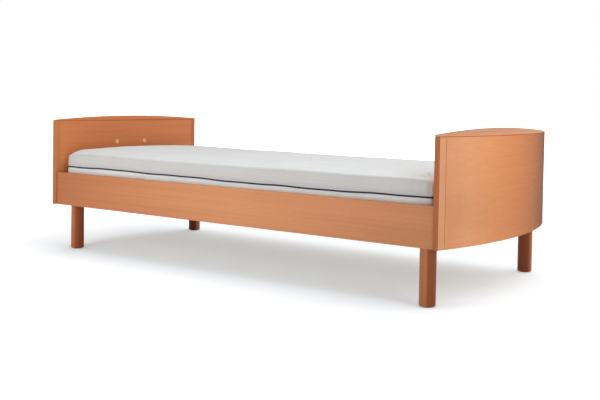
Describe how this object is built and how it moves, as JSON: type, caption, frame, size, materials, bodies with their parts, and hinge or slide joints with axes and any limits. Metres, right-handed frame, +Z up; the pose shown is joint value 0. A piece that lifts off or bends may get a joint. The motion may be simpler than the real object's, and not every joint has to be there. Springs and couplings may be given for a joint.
{
  "type": "adjustable bed",
  "caption": "Beech single bed with bowed end boards, round legs, and a slatted base whose back and foot sections tilt on notched racks under a foam mattress.",
  "frame": {"origin": "on the floor, at the middle of the bed's length and width", "axes": "+X along the bed towards the foot board, -Y towards the near long side, +Z up"},
  "size_m": [2.258, 0.996, 0.6468],
  "materials": {
    "stained_beech": "steamed beech, warm stain, satin lacquer",
    "peg_beech": "pale beech, satin lacquer",
    "frame_wood": "plain planed pine, unlacquered",
    "slat_veneer": "laminated birch slat, clear lacquer",
    "zinc_steel": "zinc plated",
    "holder_plastic": "moulded, fine grain",
    "bush_plastic": "natural nylon",
    "glide_felt": "pressed felt",
    "mattress_cover": "knitted white ticking"
  },
  "bodies": {
    "root": {"head_post_near": "stained_beech", "head_post_far": "stained_beech", "head_panel": "stained_beech", "head_shell": "stained_beech", "head_ribs": "frame_wood", "head_bottom_board": "frame_wood", "head_cap": "stained_beech", "foot_post_near": "stained_beech", "foot_post_far": "stained_beech", "foot_panel": "stained_beech", "foot_shell": "stained_beech", "foot_ribs": "frame_wood", "foot_bottom_board": "frame_wood", "foot_cap": "stained_beech", "headboard_pegs": "peg_beech", "side_rail_near": "stained_beech", "side_rail_far": "stained_beech", "ledges": "frame_wood", "corner_blocks": "frame_wood", "corner_brackets": "zinc_steel", "ledge_screws": "zinc_steel", "bracket_screws": "zinc_steel", "leg_head_near": "stained_beech", "leg_head_far": "stained_beech", "leg_foot_near": "stained_beech", "leg_foot_far": "stained_beech", "leg_plates": "zinc_steel", "leg_bolts": "zinc_steel", "leg_glides": "glide_felt", "base_beam_near": "frame_wood", "base_beam_far": "frame_wood", "base_end_bars": "frame_wood", "base_cross_members": "frame_wood", "back_racks": "zinc_steel", "foot_racks": "zinc_steel", "back_hinge_pins": "zinc_steel", "foot_hinge_pins": "zinc_steel", "seat_slats": "slat_veneer", "seat_slat_holders": "holder_plastic", "mattress_seat": "mattress_cover", "mattress_back_fold": "mattress_cover", "mattress_foot_fold": "mattress_cover"},
    "back_section": {"back_bar_near": "frame_wood", "back_bar_far": "frame_wood", "back_crossbars": "frame_wood", "back_slats": "slat_veneer", "back_slat_holders": "holder_plastic", "back_hinge_bushes": "bush_plastic", "back_prop_pins": "zinc_steel", "mattress_back": "mattress_cover"},
    "back_prop": {"back_prop": "zinc_steel"},
    "foot_section": {"foot_bar_near": "frame_wood", "foot_bar_far": "frame_wood", "foot_crossbars": "frame_wood", "foot_slats": "slat_veneer", "foot_slat_holders": "holder_plastic", "foot_hinge_bushes": "bush_plastic", "foot_prop_pins": "zinc_steel", "mattress_foot": "mattress_cover"},
    "foot_prop": {"foot_prop": "zinc_steel"}
  },
  "joints": [
    {"name": "back_tilt", "type": "hinge", "parent": "root", "child": "back_section", "pos_m": [-0.225, 0, 0.295], "axis": [0, 1, 0], "range_deg": [0, 50], "deforming": ["mattress_back_fold"]},
    {"name": "back_prop_fold", "type": "hinge", "parent": "back_section", "child": "back_prop", "pos_m": [-0.525, 0, 0.295], "axis": [0, 1, 0], "range_deg": [-100, 0]},
    {"name": "foot_tilt", "type": "hinge", "parent": "root", "child": "foot_section", "pos_m": [0.175, 0, 0.295], "axis": [0, -1, 0], "range_deg": [0, 25], "deforming": ["mattress_foot_fold"]},
    {"name": "foot_prop_fold", "type": "hinge", "parent": "foot_section", "child": "foot_prop", "pos_m": [0.455, 0, 0.295], "axis": [0, -1, 0], "range_deg": [-50, 0]}
  ],
  "couplings": [
    {"joint": "back_prop_fold", "follows": "back_tilt", "ratio": -2},
    {"joint": "foot_prop_fold", "follows": "foot_tilt", "ratio": -2}
  ]
}
